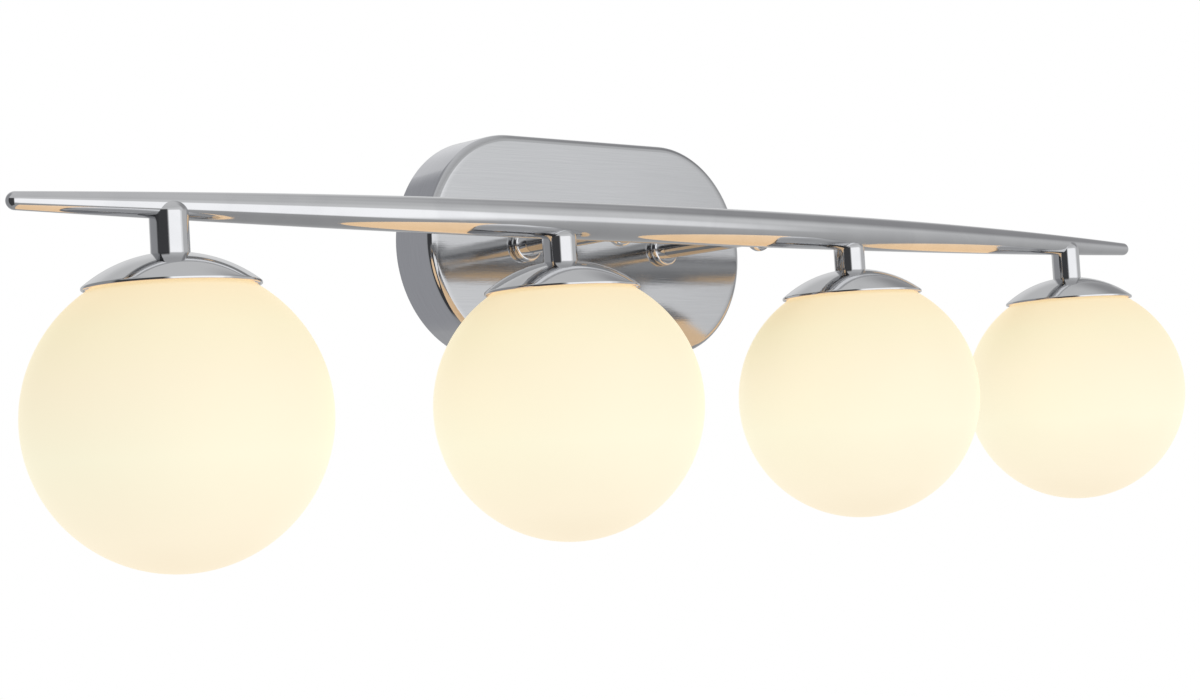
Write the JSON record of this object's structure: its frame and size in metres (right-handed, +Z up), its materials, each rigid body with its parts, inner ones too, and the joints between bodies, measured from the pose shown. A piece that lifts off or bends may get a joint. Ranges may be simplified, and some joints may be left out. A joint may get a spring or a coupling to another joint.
{
  "type": "vanity light bar",
  "caption": "Bathroom mirror light: bowed tapering chrome bar on an oval-ended backplate, with opal glass globes hanging below on short stems.",
  "frame": {"origin": "middle of the backplate on the wall face, midway between the two wall screws", "axes": "+X along the bar, +Y into the wall, +Z up; the light stands in front of the wall at negative Y"},
  "size_m": [0.6, 0.1401, 0.1638],
  "materials": {
    "chrome": "polished chrome plate",
    "satin_chrome": "chrome plate, front face finely brushed lengthways",
    "opal_glass": "opal glass, lit from inside",
    "clear_glass": "clear",
    "zinc_steel": "bright zinc plate",
    "brass": "bright turned",
    "aluminium": "turned",
    "porcelain": "glazed porcelain",
    "silicone": "soft matt silicone",
    "white_plastic": "moulded",
    "wire_blue": "wire sleeving",
    "spring_bronze": "rolled strip"
  },
  "bodies": {
    "fixture": {"wall_bracket": "zinc_steel", "cable_bush": "white_plastic", "earth_screw": "brass", "terminal_block": "white_plastic", "terminal_sleeves": "brass", "terminal_screws": "zinc_steel", "backplate": "satin_chrome", "cover_screws": "zinc_steel", "bar_tube": "chrome", "bar_end_left": "chrome", "bar_end_right": "chrome", "arm_left": "chrome", "arm_right": "chrome", "arm_ring_inner_left": "chrome", "arm_ring_inner_right": "chrome", "arm_ring_outer_left": "chrome", "arm_ring_outer_right": "chrome", "arm_washers": "zinc_steel", "arm_nuts": "zinc_steel", "nipples": "zinc_steel", "spacers": "zinc_steel", "nipple_nuts": "brass", "socket_straps": "zinc_steel", "socket_screws": "zinc_steel", "socket_contacts": "spring_bronze", "feed_wires": "wire_blue", "bar_wires": "wire_blue", "stem_wires": "wire_blue", "stem_1": "chrome", "cap_1": "chrome", "gasket_1": "silicone", "globe_holder_1": "aluminium", "bulb_socket_1": "porcelain", "stem_2": "chrome", "cap_2": "chrome", "gasket_2": "silicone", "globe_holder_2": "aluminium", "bulb_socket_2": "porcelain", "stem_3": "chrome", "cap_3": "chrome", "gasket_3": "silicone", "globe_holder_3": "aluminium", "bulb_socket_3": "porcelain", "stem_4": "chrome", "cap_4": "chrome", "gasket_4": "silicone", "globe_holder_4": "aluminium", "bulb_socket_4": "porcelain"},
    "globe_1": {"globe_1": "opal_glass"},
    "bulb_1": {"bulb_glass_1": "clear_glass", "bulb_pins_1": "zinc_steel"},
    "globe_2": {"globe_2": "opal_glass"},
    "bulb_2": {"bulb_glass_2": "clear_glass", "bulb_pins_2": "zinc_steel"},
    "globe_3": {"globe_3": "opal_glass"},
    "bulb_3": {"bulb_glass_3": "clear_glass", "bulb_pins_3": "zinc_steel"},
    "globe_4": {"globe_4": "opal_glass"},
    "bulb_4": {"bulb_glass_4": "clear_glass", "bulb_pins_4": "zinc_steel"}
  },
  "joints": [
    {"name": "globe_1_off", "type": "slide", "parent": "fixture", "child": "globe_1", "axis": [0, 0, -1], "range_m": [0, 0.075]},
    {"name": "globe_2_off", "type": "slide", "parent": "fixture", "child": "globe_2", "axis": [0, 0, -1], "range_m": [0, 0.075]},
    {"name": "globe_3_off", "type": "slide", "parent": "fixture", "child": "globe_3", "axis": [0, 0, -1], "range_m": [0, 0.075]},
    {"name": "globe_4_off", "type": "slide", "parent": "fixture", "child": "globe_4", "axis": [0, 0, -1], "range_m": [0, 0.075]},
    {"name": "bulb_1_out", "type": "slide", "parent": "fixture", "child": "bulb_1", "axis": [0, 0, -1], "range_m": [0, 0.012]},
    {"name": "bulb_2_out", "type": "slide", "parent": "fixture", "child": "bulb_2", "axis": [0, 0, -1], "range_m": [0, 0.012]},
    {"name": "bulb_3_out", "type": "slide", "parent": "fixture", "child": "bulb_3", "axis": [0, 0, -1], "range_m": [0, 0.012]},
    {"name": "bulb_4_out", "type": "slide", "parent": "fixture", "child": "bulb_4", "axis": [0, 0, -1], "range_m": [0, 0.012]}
  ]
}
